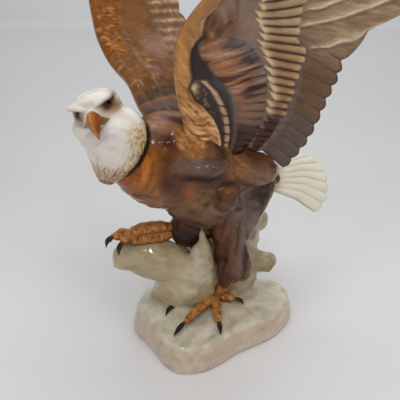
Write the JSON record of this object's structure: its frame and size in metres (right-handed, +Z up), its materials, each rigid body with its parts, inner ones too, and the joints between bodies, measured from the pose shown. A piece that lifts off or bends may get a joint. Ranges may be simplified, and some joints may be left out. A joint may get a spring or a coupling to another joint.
{
  "type": "porcelain eagle sculpture",
  "caption": "Glazed porcelain eagle with raised wings, one foot on a rock arm and one on the plinth, cast in one piece with the rock and plinth.",
  "frame": {"origin": "middle of the plinth's flat underside", "axes": "+Z up, -Y the front that the pictured side faces, +X to the right of that side, where the tail points"},
  "size_m": [0.3057, 0.2254, 0.3956],
  "materials": {
    "brown_glaze": "underglaze browns, painted in soft brushed patches, under a clear gloss glaze",
    "white_glaze": "white porcelain with a faint ochre wash under a clear gloss glaze",
    "orange_glaze": "orange brown under a clear gloss glaze",
    "dark_glaze": "near black brown under a clear gloss glaze",
    "rock_glaze": "grey green washed over white under a clear gloss glaze"
  },
  "bodies": {
    "root": {"porcelain_eagle": "brown_glaze"}
  },
  "joints": []
}
